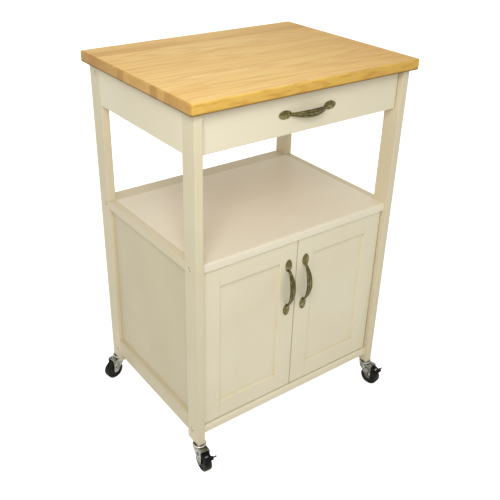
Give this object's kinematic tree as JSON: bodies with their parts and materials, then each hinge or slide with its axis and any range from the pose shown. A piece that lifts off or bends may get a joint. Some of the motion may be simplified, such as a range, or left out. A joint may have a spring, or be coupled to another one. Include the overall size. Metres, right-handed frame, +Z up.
{
  "type": "kitchen cart",
  "caption": "Rolling kitchen cart: stave worktop on flat posts, a drawer with an arched pull, an open shelf bay and a framed two-door cupboard on swivel casters with brakes.",
  "frame": {"origin": "middle of the whole cart's footprint, on the floor", "axes": "+Z up, -Y to the front with the drawer and doors, +X to the right seen from the front"},
  "size_m": [0.627, 0.5044, 0.902],
  "materials": {
    "cream_paint": "satin cream paint over wood",
    "worktop_wood": "oiled honey coloured staves",
    "drawer_wood": "bare light wood",
    "pull_metal": "aged brass",
    "caster_steel": "zinc plated pressed steel",
    "wheel_black": "black moulded rubber",
    "brake_black": "black moulded plastic",
    "fastener_steel": "plain zinc plated",
    "catch_plastic": "off-white plastic"
  },
  "bodies": {
    "cart_frame": {"worktop": "worktop_wood", "post_front_left": "cream_paint", "post_front_right": "cream_paint", "post_back_left": "cream_paint", "post_back_right": "cream_paint", "side_apron_left": "cream_paint", "side_apron_right": "cream_paint", "back_apron": "cream_paint", "worktop_cleats": "drawer_wood", "shelf_panel": "cream_paint", "shelf_side_rails": "cream_paint", "shelf_back_rail": "cream_paint", "side_panel_left": "cream_paint", "side_panel_right": "cream_paint", "back_panel": "cream_paint", "floor_board": "cream_paint", "bottom_rail_left": "cream_paint", "bottom_rail_right": "cream_paint", "bottom_rail_back": "cream_paint", "frame_screws": "fastener_steel", "door_catches": "catch_plastic", "drawer_runners": "drawer_wood", "caster_front_left_stem": "caster_steel", "caster_front_right_stem": "caster_steel", "caster_back_left_stem": "caster_steel", "caster_back_right_stem": "caster_steel"},
    "drawer": {"drawer_front": "cream_paint", "drawer_sides": "drawer_wood", "drawer_back": "drawer_wood", "drawer_bottom": "drawer_wood", "drawer_pull": "pull_metal", "drawer_pull_screws": "fastener_steel"},
    "door_left": {"door_left_stiles": "cream_paint", "door_left_rails": "cream_paint", "door_left_panel": "cream_paint", "door_left_pull": "pull_metal", "door_left_pull_screws": "fastener_steel", "door_left_pivot_pins": "fastener_steel"},
    "door_right": {"door_right_stiles": "cream_paint", "door_right_rails": "cream_paint", "door_right_panel": "cream_paint", "door_right_pull": "pull_metal", "door_right_pull_screws": "fastener_steel", "door_right_pivot_pins": "fastener_steel"},
    "caster_front_left_swivel": {"caster_front_left_fork": "caster_steel", "caster_front_left_axle": "caster_steel"},
    "caster_front_left_wheel": {"caster_front_left_wheel": "wheel_black"},
    "caster_front_left_brake": {"caster_front_left_brake": "brake_black"},
    "caster_front_right_swivel": {"caster_front_right_fork": "caster_steel", "caster_front_right_axle": "caster_steel"},
    "caster_front_right_wheel": {"caster_front_right_wheel": "wheel_black"},
    "caster_front_right_brake": {"caster_front_right_brake": "brake_black"},
    "caster_back_left_swivel": {"caster_back_left_fork": "caster_steel", "caster_back_left_axle": "caster_steel"},
    "caster_back_left_wheel": {"caster_back_left_wheel": "wheel_black"},
    "caster_back_right_swivel": {"caster_back_right_fork": "caster_steel", "caster_back_right_axle": "caster_steel"},
    "caster_back_right_wheel": {"caster_back_right_wheel": "wheel_black"}
  },
  "joints": [
    {"name": "drawer_slide", "type": "slide", "parent": "cart_frame", "child": "drawer", "axis": [0, -1, 0], "range_m": [0, 0.27]},
    {"name": "door_left_hinge", "type": "hinge", "parent": "cart_frame", "child": "door_left", "pos_m": [-0.24454, -0.19333, 0.1085], "axis": [0, 0, -1], "range_deg": [0, 100]},
    {"name": "door_right_hinge", "type": "hinge", "parent": "cart_frame", "child": "door_right", "pos_m": [0.26046, -0.19333, 0.1085], "axis": [0, 0, 1], "range_deg": [0, 100]},
    {"name": "caster_front_left_swivel", "type": "hinge", "parent": "cart_frame", "child": "caster_front_left_swivel", "pos_m": [-0.26654, -0.20383, 0.057], "axis": [0, 0, 1], "continuous": true},
    {"name": "caster_front_left_roll", "type": "hinge", "parent": "caster_front_left_swivel", "child": "caster_front_left_wheel", "pos_m": [-0.26801, -0.22478, 0.025], "axis": [0.9976, -0.0698, 0], "continuous": true},
    {"name": "caster_front_left_brake", "type": "hinge", "parent": "caster_front_left_swivel", "child": "caster_front_left_brake", "pos_m": [-0.26801, -0.22478, 0.0541], "axis": [0.9976, -0.0698, 0], "range_deg": [0, 6]},
    {"name": "caster_front_right_swivel", "type": "hinge", "parent": "cart_frame", "child": "caster_front_right_swivel", "pos_m": [0.28246, -0.20383, 0.057], "axis": [0, 0, 1], "continuous": true},
    {"name": "caster_front_right_roll", "type": "hinge", "parent": "caster_front_right_swivel", "child": "caster_front_right_wheel", "pos_m": [0.28646, -0.22445, 0.025], "axis": [0.9816, 0.1908, 0], "continuous": true},
    {"name": "caster_front_right_brake", "type": "hinge", "parent": "caster_front_right_swivel", "child": "caster_front_right_brake", "pos_m": [0.28646, -0.22445, 0.0541], "axis": [0.9816, 0.1908, 0], "range_deg": [0, 6]},
    {"name": "caster_back_left_swivel", "type": "hinge", "parent": "cart_frame", "child": "caster_back_left_swivel", "pos_m": [-0.26654, 0.20617, 0.057], "axis": [0, 0, 1], "continuous": true},
    {"name": "caster_back_left_roll", "type": "hinge", "parent": "caster_back_left_swivel", "child": "caster_back_left_wheel", "pos_m": [-0.28716, 0.20216, 0.025], "axis": [0.1908, -0.9816, 0], "continuous": true},
    {"name": "caster_back_right_swivel", "type": "hinge", "parent": "cart_frame", "child": "caster_back_right_swivel", "pos_m": [0.28246, 0.20617, 0.057], "axis": [0, 0, 1], "continuous": true},
    {"name": "caster_back_right_roll", "type": "hinge", "parent": "caster_back_right_swivel", "child": "caster_back_right_wheel", "pos_m": [0.28246, 0.22717, 0.025], "axis": [-1, 0, 0], "continuous": true}
  ]
}
